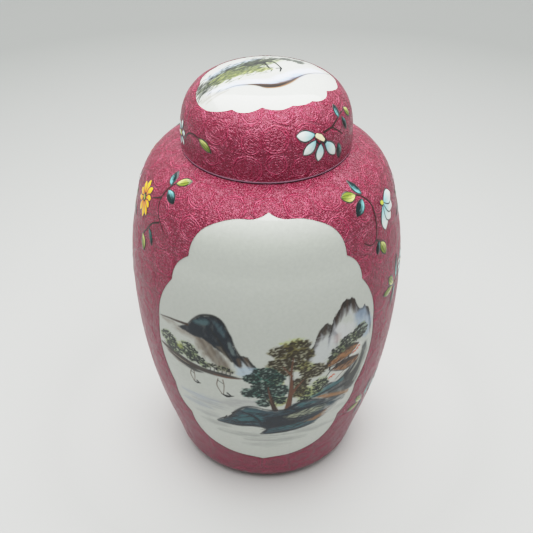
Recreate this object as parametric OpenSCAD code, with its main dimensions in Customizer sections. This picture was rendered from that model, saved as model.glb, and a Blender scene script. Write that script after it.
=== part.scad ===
// Covered porcelain ginger jar. The body is one revolved shell with a foot ring, a flat
// ledge and a plain neck. The lid is a loose cap that drops over the neck onto the ledge.
// The origin is on the jar's axis, on the surface that it stands on.

/* [Body] */
// Width of the body at its belly
body_d = 140; // [130:1:160]
// Height of the ledge that the lid rests on
seat_h = 189.3; // [182:0.1:200]
// Thickness of the body's wall
wall = 3.4; // [2.6:0.1:4.2]
// Thickness of the floor inside the foot ring
floor_t = 5; // [4:0.5:7]

/* [Foot] */
// Outer width of the foot ring
foot_d = 90; // [86:0.5:94]
// Width of the foot ring's flat underside
foot_flat_w = 4; // [3:0.1:5]
// Depth of the recess inside the foot ring
recess_h = 3.6; // [2:0.1:5]

/* [Neck] */
// Width of the mouth, a plain round bore
mouth_d = 66; // [60:0.5:67]
// Thickness of the neck's wall
neck_t = 3.8; // [3.2:0.1:4.2]
// Height of the neck above the ledge
neck_h = 12; // [9:0.5:12.5]

/* [Lid] */
// Height of the lid above the ledge
lid_h = 34.5; // [33:0.1:38]
// Thickness of the lid's wall
lid_t = 3.6; // [3:0.1:4.2]
// Gap between the lid and the neck, all round
lid_play = 1; // [0.8:0.1:1.5]
// Squareness of the lid's dome, where 2 is a plain ellipse
dome_power = 3.45; // [3.3:0.05:4.5]

/* [Hidden] */

$fn = 180;
span_steps = 10;        // straight steps in each smooth span of the body's outline
dome_steps = 24;        // straight steps up the lid's dome
edge_steps = 4;         // straight steps round a small edge
foot_bevel = 0.7;       // height of the bevel under the foot ring's outer edge
recess_slope = 1.4;     // how far the recess narrows towards its ceiling
heel_h = 9;             // height at which the foot's curve meets the body's straight side
side_lean = 13.5;       // outward lean of that straight side, in degrees
corner_r = 7;           // size of the rounded corner between the floor and the wall inside
lip_round = 1.2;        // radius of the neck's two top edges
rim_round = 1;          // radius of the lid's outer bottom edge
rim_inner_round = 0.5;  // radius of the lid's inner bottom edge
ledge_inset = 0.6;      // how far the ledge's edge stands inside the lid's outer wall
bore_start = 1.7;       // height above the ledge at which the mouth's straight wall begins

body_r = body_d / 2;
foot_r = foot_d / 2;
heel_r = 0.736 * body_r;
mouth_r = mouth_d / 2;
neck_r = mouth_r + neck_t;
neck_top = seat_h + neck_h;
floor_h = recess_h + floor_t;
corner_wall_r = heel_r - wall + (floor_h + corner_r - heel_h) * tan(side_lean);
lid_bore_r = neck_r + lid_play;
lid_r = lid_bore_r + lid_t;
ledge_r = lid_r - ledge_inset;

// A station is [radius, height, lean], where lean is the wall's angle from upright in
// degrees, positive where the wall spreads outwards as it rises.
upper_stations = [
    [0.890 * body_r, 0.256 * seat_h, side_lean - 0.5],
    [body_r, 0.622 * seat_h, 0],
    [0.955 * body_r, 0.800 * seat_h, -13],
    [0.837 * body_r, 0.940 * seat_h, -35.5],
    [ledge_r, seat_h, -78]
];
outer_stations = concat(
    [[foot_r, foot_bevel, 55], [heel_r, heel_h, side_lean + 0.5]],
    upper_stations
);
inner_stations = concat(
    [[corner_wall_r - corner_r, floor_h, 90], [corner_wall_r, floor_h + corner_r, side_lean]],
    [for (s = upper_stations) inset(s, wall)],
    [[mouth_r, seat_h + bore_start, 0]]
);

// The same station moved square to the wall, towards the inside
function inset(s, t) = [s[0] - t * cos(s[2]), s[1] + t * sin(s[2]), s[2]];

// The direction of the wall at a lean
function along(lean) = [sin(lean), cos(lean)];

// The points from station a up to, but not at, station b: one cubic close to a round arc
function span(a, b) = let (
    p = [a[0], a[1]],
    q = [b[0], b[1]],
    reach = norm(q - p) / (3 * pow(cos((b[2] - a[2]) / 4), 2)),
    p_handle = p + reach * along(a[2]),
    q_handle = q - reach * along(b[2])
) [for (i = [0 : span_steps - 1]) let (t = i / span_steps, u = 1 - t)
    u * u * u * p + 3 * u * u * t * p_handle + 3 * u * t * t * q_handle + t * t * t * q];

// The smooth line through all the stations
function outline(stations) = let (last = stations[len(stations) - 1]) concat(
    [for (i = [0 : len(stations) - 2]) each span(stations[i], stations[i + 1])],
    [[last[0], last[1]]]
);

// A dome's outline from just above its foot to its top: a quarter of a superellipse
function dome(r, h) = [
    for (i = [1 : dome_steps])
        let (
            a = 90 * i / dome_steps,
            reach = pow(pow(cos(a), dome_power) + pow(sin(a), dome_power), -1 / dome_power)
        ) [r * reach * cos(a), seat_h + h * reach * sin(a)]
];

// Points on a round edge about [r, z], between two angles from the outward direction
function edge(r, z, radius, from, to) =
    [for (i = [0 : edge_steps]) let (a = from + (to - from) * i / edge_steps)
        [r + radius * cos(a), z + radius * sin(a)]];

function backwards(points) = [for (i = [len(points) - 1 : -1 : 0]) points[i]];

module jar() {
    flat_r = foot_r - foot_bevel;
    underside = [
        [0, recess_h],
        [flat_r - foot_flat_w - recess_slope, recess_h],
        [flat_r - foot_flat_w, 0],
        [flat_r, 0]
    ];
    neck = concat(
        [[neck_r, seat_h]],
        edge(neck_r - lip_round, neck_top - lip_round, lip_round, 0, 90),
        edge(mouth_r + lip_round, neck_top - lip_round, lip_round, 90, 180)
    );
    color([0.66, 0.17, 0.33])
        rotate_extrude()
            polygon(concat(
                underside,
                outline(outer_stations),
                neck,
                backwards(outline(inner_stations)),
                [[0, floor_h]]
            ));
}

module lid() {
    rim = concat(
        edge(lid_bore_r + rim_inner_round, seat_h + rim_inner_round, rim_inner_round, 180, 270),
        edge(lid_r - rim_round, seat_h + rim_round, rim_round, -90, 0)
    );
    color([0.72, 0.20, 0.37])
        rotate_extrude()
            polygon(concat(rim, dome(lid_r, lid_h), backwards(dome(lid_bore_r, lid_h - lid_t))));
}

jar();
lid();
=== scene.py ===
"""Looks of a covered porcelain ginger jar: a ruby scratched ground, flower sprays and painted
landscape panels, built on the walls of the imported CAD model. Lengths are in millimetres until
a mesh or a lamp is made. Round the jar, u is measured along the belly's circle (on the lid, along its
rim's), to the right from the front, and v is measured along the wall, up from the foot (on the
lid, from its rim)."""
import math
import bpy
import numpy as np
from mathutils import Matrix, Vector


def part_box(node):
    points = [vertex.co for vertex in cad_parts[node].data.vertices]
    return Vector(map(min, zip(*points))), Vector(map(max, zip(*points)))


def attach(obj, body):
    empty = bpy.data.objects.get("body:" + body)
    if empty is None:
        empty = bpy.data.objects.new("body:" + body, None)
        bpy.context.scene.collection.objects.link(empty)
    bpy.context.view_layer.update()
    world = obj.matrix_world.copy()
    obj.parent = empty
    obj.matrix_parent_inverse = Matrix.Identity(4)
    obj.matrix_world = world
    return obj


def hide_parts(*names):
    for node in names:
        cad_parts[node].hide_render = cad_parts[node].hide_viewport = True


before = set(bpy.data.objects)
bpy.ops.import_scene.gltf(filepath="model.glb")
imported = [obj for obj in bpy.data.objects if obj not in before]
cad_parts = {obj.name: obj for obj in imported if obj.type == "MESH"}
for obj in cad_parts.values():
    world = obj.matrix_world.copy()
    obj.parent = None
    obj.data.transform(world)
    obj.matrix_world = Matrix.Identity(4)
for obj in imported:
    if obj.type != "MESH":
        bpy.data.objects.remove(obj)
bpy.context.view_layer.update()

MM = 0.001
JAR_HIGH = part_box("jar")[1] / MM
LID_LOW, LID_HIGH = (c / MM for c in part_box("lid"))
BODY_R = JAR_HIGH.x
LID_R = LID_HIGH.x
LEDGE_H = LID_LOW.z
NECK_TOP = JAR_HIGH.z
LID_H = LID_HIGH.z - LEDGE_H
TOP_H = LID_HIGH.z
FOOT_R = 45
FOOT_BEVEL = 0.7
FOOT_FLAT_W = 4
RECESS_H = 3.6
FLOOR_H = 8.6
CORNER_R = 7
HEEL_R = 0.736 * BODY_R
HEEL_H = 9
SIDE_LEAN = 13.5
WALL = 3.4
LID_WALL = 3.6
LID_PLAY = 1
NECK_WALL = 3.8
LEDGE_R = LID_R - 0.6
NECK_R = LID_R - LID_WALL - LID_PLAY
MOUTH_R = NECK_R - NECK_WALL
DOME_POWER = 3.45
ROUNDING = 1.2       # of the neck's lip and of the recess's corner
FILLET = 0.6         # between ledge and neck
LID_EDGE_IN = 0.5    # roundings of the lid's rim, inside and outside
LID_EDGE_OUT = 1
SEGMENTS = 240       # steps round the porcelain and the rim line
GROUND_T = 0.14      # thickness of the ruby enamel
GRIT_H = 0.09        # height and size of the ruby enamel's small lumps
GRIT_SIZE = 1.2
PAINT_T = 0.05       # how far the painted landscapes stand off the porcelain
SPRAY_T = 0.22       # and how far the sprays do
SKIRT = 0.3          # how far the edges of the enamel sheets go down into the porcelain
UNDERLAP = 0.35      # how far the landscapes go on under the ruby enamel's edge
PANEL_STEP = 0.4     # spacing of the grids that the paintings are made on
BLANK_STEP = 1.2     # and where a panel is left white
CROWN_STEP = 0.3
SPRAY_STEP = 0.22
LEAF_SEED = 31       # of the leaves' mottling
CAMERA_LENS = 60.8   # millimetres, like the sensor's width
CAMERA_SENSOR = 36
CAMERA_BACK = 1.741  # how far in front of the jar's axis and how high, in heights of the covered jar
CAMERA_UP = 1.784
CAMERA_TILT = 53.72  # degrees from straight down
SOFTBOX_H = 850
SOFTBOX_SIZE = (1050, 1250)
SOFTBOX_WATTS = 22
FLOOR_HALF = 6000    # half the floor's width


# ---------------------------------------------------------------- walls
def cubic(a, b, steps=200):
    """Points from station a up to station b, each (radius, height, lean in degrees)."""
    p, q = np.array(a[:2], float), np.array(b[:2], float)
    lean = np.radians([a[2], b[2]])
    reach = np.hypot(*(q - p)) / (3 * math.cos((lean[1] - lean[0]) / 4) ** 2)
    p_handle = p + reach * np.array([math.sin(lean[0]), math.cos(lean[0])])
    q_handle = q - reach * np.array([math.sin(lean[1]), math.cos(lean[1])])
    t = np.linspace(0, 1, steps, endpoint=False)[:, None]
    s = 1 - t
    return s ** 3 * p + 3 * s * s * t * p_handle + 3 * s * t * t * q_handle + t ** 3 * q


def outline(stations):
    """A smooth line up through stations, each (radius, height, lean in degrees)."""
    return np.vstack([cubic(a, b) for a, b in zip(stations[:-1], stations[1:])] + [stations[-1][:2]])


def inset(station, t):
    """A station moved inwards, square to the wall."""
    lean = math.radians(station[2])
    return station[0] - t * math.cos(lean), station[1] + t * math.sin(lean), station[2]


def dome(radius, height):
    """A quarter of a superellipse, from its foot to its top."""
    a = np.linspace(0, math.pi / 2, 800)
    c, s = np.maximum(np.cos(a), 1e-12), np.sin(a)
    reach = (c ** DOME_POWER + s ** DOME_POWER) ** (-1 / DOME_POWER)
    return np.column_stack([radius * reach * c, LEDGE_H + height * reach * s])


def arc(r, z, radius, start, end, steps):
    """Points on a rounded edge, from one angle to another in degrees."""
    a = np.radians(np.linspace(start, end, steps))
    return np.column_stack([r + radius * np.cos(a), z + radius * np.sin(a)])


class Wall:
    """An outline turned into a surface: v is along it, u round it and h off it."""

    def __init__(self, points, round_r):
        self.points = np.array(points, float)
        step = np.hypot(*np.diff(self.points, axis=0).T)
        self.along = np.concatenate([[0], np.cumsum(step)])
        self.length = self.along[-1]
        self.round_r = round_r
        self.round = 2 * math.pi * round_r
        slope = np.gradient(self.points, self.along, axis=0)
        slope /= np.hypot(*slope.T)[:, None]
        self.normals = np.column_stack([slope[:, 1], -slope[:, 0]])

    def radius(self, v):
        return np.interp(v, self.along, self.points[:, 0])

    def place(self, u, v, h):
        """Points and outward normals, each with x, y and z last."""
        a = np.asarray(u) / self.round_r
        r, z = (np.interp(v, self.along, self.points[:, k]) for k in (0, 1))
        out, up = (np.interp(v, self.along, self.normals[:, k]) for k in (0, 1))
        side, front = np.sin(a), -np.cos(a)
        normal = np.stack([out * side, out * front, up + 0 * a], -1)
        r, z = r + h * out, z + h * up
        return np.stack([r * side, r * front, z + 0 * a], -1), normal

    def line(self, start, end, spacing):
        """(radius, height) points along the wall between two values of v."""
        v = np.linspace(start, end, max(2, round(abs(end - start) / spacing) + 1))
        return np.column_stack([np.interp(v, self.along, self.points[:, k]) for k in (0, 1)])


# Stations of the wall from above the heel to the ledge
UPPER = [(0.890 * BODY_R, 0.256 * LEDGE_H, SIDE_LEAN - 0.5), (BODY_R, 0.622 * LEDGE_H, 0),
         (0.955 * BODY_R, 0.800 * LEDGE_H, -13), (0.837 * BODY_R, 0.940 * LEDGE_H, -35.5),
         (LEDGE_R, LEDGE_H, -78)]
CORNER_WALL_R = HEEL_R - WALL + (FLOOR_H + CORNER_R - HEEL_H) * math.tan(math.radians(SIDE_LEAN))
INNER = [(CORNER_WALL_R - CORNER_R, FLOOR_H, 90), (CORNER_WALL_R, FLOOR_H + CORNER_R, SIDE_LEAN)]
INNER += [inset(s, WALL) for s in UPPER] + [(MOUTH_R, LEDGE_H + 1.7, 0)]
body_wall = Wall(outline([(FOOT_R, FOOT_BEVEL, 55), (HEEL_R, HEEL_H, SIDE_LEAN + 0.5)] + UPPER), BODY_R)
inner_wall = Wall(outline(INNER), BODY_R)
lid_wall = Wall(dome(LID_R, LID_H), LID_R)
ceiling = Wall(dome(LID_R - LID_WALL, LID_H - LID_WALL), LID_R)


# ---------------------------------------------------------------- node materials
class Num:
    """A number in a node tree, which Python's own operators turn into Math nodes."""

    def __init__(self, tree, socket):
        self.tree, self.socket = tree, socket

    def math(self, operation, *others):
        node = self.tree.nodes.new("ShaderNodeMath")
        node.operation = operation
        for socket, value in zip(node.inputs, (self, *others)):
            if isinstance(value, Num):
                self.tree.links.new(value.socket, socket)
            else:
                socket.default_value = value
        return Num(self.tree, node.outputs[0])

    def __add__(self, other):
        return self.math("ADD", other)

    def __sub__(self, other):
        return self.math("SUBTRACT", other)

    def __mul__(self, other):
        return self.math("MULTIPLY", other)

    def __truediv__(self, other):
        return self.math("DIVIDE", other)

    def clamp(self):
        return self.math("MAXIMUM", 0).math("MINIMUM", 1)

    def ridge(self, centre, half_width):
        """1 where this is centre, falling to 0 at half_width away."""
        off = (self - centre) / half_width
        return (off * off * -1 + 1).clamp()


class Look:
    """A Principled material and short ways to wire it."""

    def __init__(self, name, **sockets):
        self.material = bpy.data.materials.new(name)
        self.material.use_nodes = True
        self.tree = self.material.node_tree
        self.shader = self.tree.nodes["Principled BSDF"]
        for socket, value in sockets.items():
            self.shader.inputs[socket.replace("_", " ")].default_value = value

    def node(self, kind, links=None, **values):
        node = self.tree.nodes.new("ShaderNode" + kind)
        for key, value in values.items():
            if key in node.bl_rna.properties:
                setattr(node, key, value)
            else:
                node.inputs[key.replace("_", " ")].default_value = value
        for key, source in (links or {}).items():
            self.tree.links.new(source.socket if isinstance(source, Num) else source, node.inputs[key])
        return node

    def field(self, name, output="Fac"):
        return self.node("Attribute", attribute_name=name).outputs[output]

    def num(self, socket):
        return Num(self.tree, socket)

    def position(self):
        """Where a point is, in metres, on the object at rest."""
        return self.node("TexCoord").outputs["Object"]

    def axes(self, vector):
        """A vector's x, y and z."""
        outputs = self.node("SeparateXYZ", {"Vector": vector}).outputs
        return [self.num(outputs[k]) for k in range(3)]

    def noise(self, per_mm, detail=2.0, output="Fac"):
        node = self.node("TexNoise", {"Vector": self.position()}, Scale=per_mm / MM, Detail=detail)
        return self.num(node.outputs[output])

    def ramp(self, factor, *stops):
        """Colours in display values, each with the factor at which it is reached."""
        node = self.node("ValToRGB")
        ramp = node.color_ramp
        while len(ramp.elements) < len(stops):
            ramp.elements.new(0.5)
        for element, (at, colour) in zip(ramp.elements, stops):
            element.position = at
            element.color = (*linear(colour), 1)
        self.tree.links.new(factor.socket, node.inputs["Fac"])
        return node.outputs["Color"]

    def mix(self, factor, a, b, blend="MIX"):
        node = self.node("Mix", data_type="RGBA", blend_type=blend)
        for index, value in ((0, factor), (6, a), (7, b)):
            if isinstance(value, (int, float, tuple)):
                node.inputs[index].default_value = value
            else:
                self.tree.links.new(value.socket if isinstance(value, Num) else value, node.inputs[index])
        return node.outputs[2]

    def wire(self, **sources):
        for socket, source in sources.items():
            source = source.socket if isinstance(source, Num) else source
            self.tree.links.new(source, self.shader.inputs[socket.replace("_", " ")])

    def bump(self, height, distance_mm):
        node = self.node("Bump", {"Height": height}, Strength=1.0, Distance=distance_mm * MM)
        self.wire(Normal=node.outputs[0])


def linear(colour):
    """Linear values of a display colour given as 0 to 255."""
    c = np.asarray(colour, float) / 255
    return np.where(c <= 0.04045, c / 12.92, ((c + 0.055) / 1.055) ** 2.4)


PORCELAIN = (192, 196, 189)
BISCUIT = (205, 196, 180)


def porcelain_look():
    """Glossy white glaze, with bare biscuit where the foot ring and the neck's lip were wiped."""
    look = Look("white_glaze", Roughness=0.07, IOR=1.5)
    z = look.axes(look.position())[2] / MM
    foot = ((z * -1 + 0.5) * 4).clamp()
    lip = ((z - (NECK_TOP - 0.8)) * 3).clamp() * (z * -1 + (NECK_TOP + 0.5)).clamp()
    bare = foot.math("MAXIMUM", lip)
    cloud = look.noise(0.03)
    white = look.ramp(cloud, (0.35, (188, 192, 185)), (0.65, PORCELAIN))
    grain = look.noise(2.5, 3)
    biscuit = look.ramp(grain, (0.3, (188, 178, 160)), (0.7, BISCUIT))
    look.wire(Base_Color=look.mix(bare, white, biscuit),
              Roughness=bare * 0.6 + look.noise(0.2) * 0.04 + 0.04)
    look.bump(look.noise(0.12) * 0.25 + grain * bare, 0.06)
    return look.material


def ruby_look():
    """Deep ruby enamel scratched all over with coils, combs, zigzags and barbs, with a few pale flecks."""
    spiral_pitch, band_width, barb_pitch = 1.35, 1.7, 1.15
    look = Look("ruby_enamel", Roughness=0.25, IOR=1.85, Specular_Tint=(1, 0.46, 0.6, 1))
    coil = look.axes(look.field("coil", "Vector"))
    wobble = look.axes(look.noise(0.28, 2, "Color"))
    x, y = (coil[k] + (wobble[k] - 0.5) * 2.0 for k in range(2))
    size, kind, edge = coil[2], look.num(look.field("coil_kind")), look.num(look.field("coil_edge"))
    rho = (x * x + y * y).math("SQRT")
    theta = y.math("ARCTAN2", x)
    rings = rho.ridge(size, 0.45).math("MAXIMUM", (rho + 1.1).ridge(size, 0.34))
    spiral = (rho * (2 * math.pi / spiral_pitch) + theta).math("COSINE")
    band = (rho / band_width).math("FLOOR")
    combed = (theta * (band * 8 + 6)).math("COSINE")
    combed = combed * (rho * (math.pi / band_width)).math("SINE").math("ABSOLUTE")
    zigzag = (y * 4.4 + (x * 2.6).math("SINE").math("ARCSINE") * 1.5).math("COSINE")
    first, last = (kind * -30 + 7).clamp(), (kind * 30 - 16).clamp()
    fill = spiral * first + zigzag * last + combed * (first * -1 - last + 1)
    inside = ((size - rho - 1.4) * 2.5).clamp()
    outside = ((rho - size - 0.3) * 3).clamp() * (edge * 0.6).clamp()
    barbs = (theta * (size * (2 * math.pi / barb_pitch)).math("ROUND") + rho * 1.8).math("COSINE")
    barbs = barbs * ((size - rho) * 1.2 + 2.6).clamp()
    curls = (look.noise(0.42, 1) * 34).math("COSINE")
    worn = look.noise(0.45, 3)
    fine = (fill * inside + barbs * outside).math("MAXIMUM", 0) * (worn * 2.2 - 0.45).clamp()
    fine = fine.math("MAXIMUM", curls * (inside * -0.5 + 1))
    rings = rings * (look.noise(0.2, 2) * 2.4 - 0.35).clamp()
    line = rings.math("MAXIMUM", fine * 0.75) * (edge * 0.7).clamp()
    grit = look.noise(1.1, 4)
    colour = look.ramp(line * 0.62 + grit * 0.58,
                       (0.2, (90, 4, 30)), (0.45, (113, 7, 40)), (0.9, (150, 40, 72)))
    fleck = ((look.noise(0.8, 3) - 0.52) * 7).clamp() * 0.18
    colour = look.mix(fleck, colour, (*linear((196, 112, 142)), 1))
    look.wire(Base_Color=colour, Roughness=worn * 0.14 + 0.1)
    pebble = look.noise(0.6, 2)
    look.bump(line * 1.2 + grit * 1.2 + pebble * 0.4, 0.36)
    return look.material


def paint_look():
    """Enamels painted on the white glaze, from the colours at the mesh's points."""
    look = Look("painted_enamel", Roughness=0.1, IOR=1.42)
    paint = look.field("paint", "Color")
    cloud = look.noise(0.6, 3)
    shade = look.ramp(cloud, (0.3, (248, 248, 248)), (0.7, (255, 255, 255)))
    look.wire(Base_Color=look.mix(1.0, paint, shade, "MULTIPLY"), Roughness=look.noise(0.2) * 0.05 + 0.05)
    look.bump(look.noise(0.12) * 0.25, 0.06)
    return look.material


def rim_shade_highlight_look():
    """A thin band round the lid's rim: a near-black painted shadow in the joint, a mauve painted highlight,
    then ruby.
    """
    look = Look("rim_band_painted_shade_highlight", Roughness=0.15, IOR=1.6)
    z = look.axes(look.position())[2] / MM
    height = (z - LEDGE_H) + look.noise(0.5) * 0.2 - 0.1
    # painted shadow, near black, at the bottom; then a painted highlight in mauve; then the ruby ground's
    # own colour
    colour = look.ramp(height * 0.5, (0.2, (16, 6, 9)), (0.34, (34, 12, 20)), (0.44, (150, 108, 130)),
                       (0.6, (176, 134, 154)), (0.8, (120, 44, 68)))
    look.wire(Base_Color=colour, Roughness=look.noise(0.2) * 0.05 + 0.1)
    return look.material


# ---------------------------------------------------------------- meshes
def new_piece(name, body, verts, faces, material, normals=None, colours=None, fields=None):
    """A piece from vertices in millimetres, with colours and named values at its vertices."""
    mesh = bpy.data.meshes.new(name)
    mesh.from_pydata((np.asarray(verts, float) * MM).tolist(), [], [list(f) for f in faces])
    mesh.polygons.foreach_set("use_smooth", np.ones(len(mesh.polygons), bool))
    if colours is not None:
        layer = mesh.color_attributes.new("paint", "FLOAT_COLOR", "POINT")
        rgba = np.column_stack([colours, np.ones(len(colours))])
        layer.data.foreach_set("color", rgba.astype(np.float32).ravel())
    for field, values in (fields or {}).items():
        vector = values.ndim == 2
        layer = mesh.attributes.new(field, "FLOAT_VECTOR" if vector else "FLOAT", "POINT")
        layer.data.foreach_set("vector" if vector else "value", values.astype(np.float32).ravel())
    if normals is None:
        mesh.set_sharp_from_angle(angle=math.radians(40))
    else:
        mesh.normals_split_custom_set_from_vertices(np.asarray(normals, float).tolist())
    mesh.materials.append(material)
    piece = bpy.data.objects.new(name, mesh)
    bpy.context.scene.collection.objects.link(piece)
    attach(piece, body)
    return piece


def revolve(name, body, loop, material):
    """A closed solid from an outline (radius, height) that runs anticlockwise from axis to axis."""
    a = np.arange(SEGMENTS) * 2 * math.pi / SEGMENTS
    verts, rings = [], []
    for r, z in loop:
        on_axis = r < 1e-6
        rings.append(len(verts) + (np.zeros(SEGMENTS, int) if on_axis else np.arange(SEGMENTS)))
        verts += [(0, 0, z)] if on_axis else list(zip(r * np.sin(a), -r * np.cos(a), np.full(SEGMENTS, z)))
    faces = []
    for low, high in zip(rings, rings[1:]):
        for i in range(SEGMENTS):
            corners = (low[i], low[(i + 1) % SEGMENTS], high[(i + 1) % SEGMENTS], high[i])
            faces.append(list(dict.fromkeys(int(c) for c in corners)))
    return new_piece(name, body, verts, faces, material)


def grid_triangles(rows, columns):
    """Two triangles for each cell of a grid of points."""
    i, j = np.meshgrid(np.arange(rows - 1), np.arange(columns - 1), indexing="ij")
    a = (i * columns + j).ravel()
    b, c, d = a + 1, a + columns + 1, a + columns
    return np.concatenate([np.stack([a, b, c], -1), np.stack([a, c, d], -1)])


def clip(values, triangles, keep):
    """The part of a mesh where keep is positive, cut straight across its triangles."""
    inside = keep > 0
    count = inside[triangles].sum(1)
    made, extra, cut = {}, [], []

    def crossing(a, b):
        edge = (min(a, b), max(a, b))
        if edge not in made:
            t = keep[a] / (keep[a] - keep[b])
            made[edge] = len(values) + len(extra)
            extra.append(values[a] + t * (values[b] - values[a]))
        return made[edge]

    for triangle in triangles[(count == 1) | (count == 2)]:
        ring = []
        for a, b in zip(triangle, np.roll(triangle, -1)):
            if inside[a]:
                ring.append(int(a))
            if inside[a] != inside[b]:
                ring.append(crossing(int(a), int(b)))
        cut += [(ring[0], ring[k], ring[k + 1]) for k in range(1, len(ring) - 1)]
    triangles = np.concatenate([triangles[count == 3], np.array(cut, int).reshape(-1, 3)])
    values = np.concatenate([values, np.array(extra).reshape(-1, values.shape[1])])
    used, triangles = np.unique(triangles, return_inverse=True)
    return values[used], triangles.reshape(-1, 3)


def skirted(values, triangles, depth=SKIRT):
    """The same sheet with its open edges turned down; values start with place and normal."""
    edges = np.concatenate([triangles[:, [0, 1]], triangles[:, [1, 2]], triangles[:, [2, 0]]])
    _, first, times = np.unique(np.sort(edges, 1), axis=0, return_index=True, return_counts=True)
    rim = edges[first[times == 1]]
    corners, index = np.unique(rim, return_inverse=True)
    low = values[corners].copy()
    low[:, :3] -= low[:, 3:6] * depth
    index = index.reshape(-1, 2) + len(values)
    walls = np.concatenate([np.stack([rim[:, 1], rim[:, 0], index[:, 0]], -1),
                            np.stack([rim[:, 1], index[:, 0], index[:, 1]], -1)])
    return np.concatenate([values, low]), np.concatenate([triangles, walls])


def signed_distance(u, v, polygon):
    """Distance to a closed outline, negative inside it."""
    best, inside = np.full(u.shape, np.inf), np.zeros(u.shape, bool)
    for (ax, ay), (bx, by) in zip(polygon, np.roll(polygon, -1, axis=0)):
        dx, dy = bx - ax, by - ay
        t = np.clip(((u - ax) * dx + (v - ay) * dy) / (dx * dx + dy * dy), 0, 1)
        best = np.minimum(best, (u - ax - t * dx) ** 2 + (v - ay - t * dy) ** 2)
        if ay != by:
            inside ^= ((ay > v) != (by > v)) & (u < ax + (v - ay) * dx / dy)
    return np.sqrt(best) * np.where(inside, -1, 1)


def lobed(points, steps=10):
    """An outline through (u, v, bulge) points: each stretch is an arc that stands out by its bulge."""
    out = []
    for (u0, v0, _), (u1, v1, bulge) in zip(points[:-1], points[1:]):
        t = np.linspace(0, 1, steps, endpoint=False)[:, None]
        chord = np.array([u1 - u0, v1 - v0])
        side = np.array([chord[1], -chord[0]]) / np.hypot(*chord)
        out.append(np.array([u0, v0]) + t * chord + 4 * bulge * t * (1 - t) * side)
    return np.vstack(out)


# ---------------------------------------------------------------- outlines of the white reserves
# The right half of a panel, from its top tip down to its bottom tip
PANEL_HALF = [(0, 190, 0), (11, 186.4, 0.8), (27, 183.4, -1.0), (41.3, 163.5, -4.2), (50, 148, -2.6),
              (59.8, 119, -2.6), (53.5, 77.5, -3.4), (45.3, 58.3, -2.8), (36, 38, -2.6), (12, 29.6, -1.4),
              (0, 27, 0.4)]
PANEL_LEAN = 0.02
PANEL_MIDDLE = 130


def panel_outline():
    """The panel's outline in u and v: two mirrored halves, leaning a little to the right."""
    right = lobed(PANEL_HALF)
    left = right[1:] * (-1, 1)
    whole = np.vstack([right, [(0, PANEL_HALF[-1][1])], left[::-1]])
    whole[:, 0] += PANEL_LEAN * (whole[:, 1] - PANEL_MIDDLE)
    return whole


# Cusps of the crown's reserve: degrees to the right of the front, distance from the axis, and how far
# the stretch from there to the next cusp stands out
CROWN_CUSPS = [(-4, 28.3, 1.5), (24, 28.6, 0.7), (44, 29.3, 1.9), (69, 29.4, 1.6), (96, 33, 1.6),
               (124, 29.6, 1.8), (152, 29, 1.6), (180, 28.6, 1.6), (208, 28.4, 1.2), (238, 28.6, 0.7),
               (273, 31.2, 1.1), (305, 35.2, 1.0), (331, 31.4, 1.8)]


def crown_outline():
    """The outline of the crown's reserve in x and y, seen from above."""
    out = []
    first = CROWN_CUSPS[0]
    closed = CROWN_CUSPS + [(first[0] + 360, first[1], 0)]
    for (a0, r0, bulge), (a1, r1, _) in zip(closed, closed[1:]):
        t = np.linspace(0, 1, 12, endpoint=False)
        a, r = np.radians(a0 + (a1 - a0) * t), r0 + (r1 - r0) * t + 4 * bulge * t * (1 - t)
        out.append(np.column_stack([r * np.sin(a), -r * np.cos(a)]))
    return np.vstack(out)


# ---------------------------------------------------------------- ruby ground
def coils(wall, u, v, pitch, seed):
    """For each point, its place in the nearest medallion (x, y, radius), and the medallion's kind
    beside how much nearer it is than the next one."""
    rng = np.random.default_rng(seed)
    best, second = np.full(u.size, 99.0), np.full(u.size, 99.0)
    local, kind = np.zeros((u.size, 3)), np.zeros(u.size)
    u_all, v_all = u.ravel(), v.ravel()
    for centre_v in np.arange(-0.3 * pitch, wall.length + pitch, 0.87 * pitch):
        number = max(4, round(2 * math.pi * max(float(wall.radius(centre_v)), 5) / pitch))
        step, start = wall.round / number, rng.random() * wall.round
        random = rng.random((number, 5))
        near = np.flatnonzero(np.abs(v_all - centre_v) < 1.5 * pitch)
        un, vn = u_all[near], v_all[near]
        scale = wall.radius(vn) / wall.round_r
        base = np.round((un - start) / step).astype(int)
        for shift in (-1, 0, 1):
            k = base + shift
            ju, jv, jr, jk, ja = random[k % number].T
            x = (un - start - (k + (ju - 0.5) * 0.35) * step) * scale
            y = vn - centre_v - (jv - 0.5) * 0.35 * pitch
            size = pitch * (0.29 + 0.17 * jr)
            away = np.hypot(x, y) - size
            a = 2 * math.pi * ja
            new = np.stack([x * np.cos(a) - y * np.sin(a), x * np.sin(a) + y * np.cos(a), size], -1)
            closer = away < best[near]
            second[near] = np.where(closer, best[near], np.minimum(second[near], away))
            hit = near[closer]
            best[hit], local[hit], kind[hit] = away[closer], new[closer], jk[closer]
    shape = u.shape
    return local.reshape(shape + (3,)), np.stack([kind, second - best], -1).reshape(shape + (2,))


def relief(local):
    """Height of the cut enamel: raised double rims and a low swelling in each medallion."""
    rho, size = np.hypot(local[..., 0], local[..., 1]), local[..., 2]
    rim = np.clip(1 - ((rho - size) / 0.7) ** 2, 0, 1)
    rim = rim + 0.8 * np.clip(1 - ((rho - size + 1.5) / 0.6) ** 2, 0, 1)
    return 0.07 * np.minimum(rim, 1) + 0.05 * np.clip(1 - rho / size, 0, 1)


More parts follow.
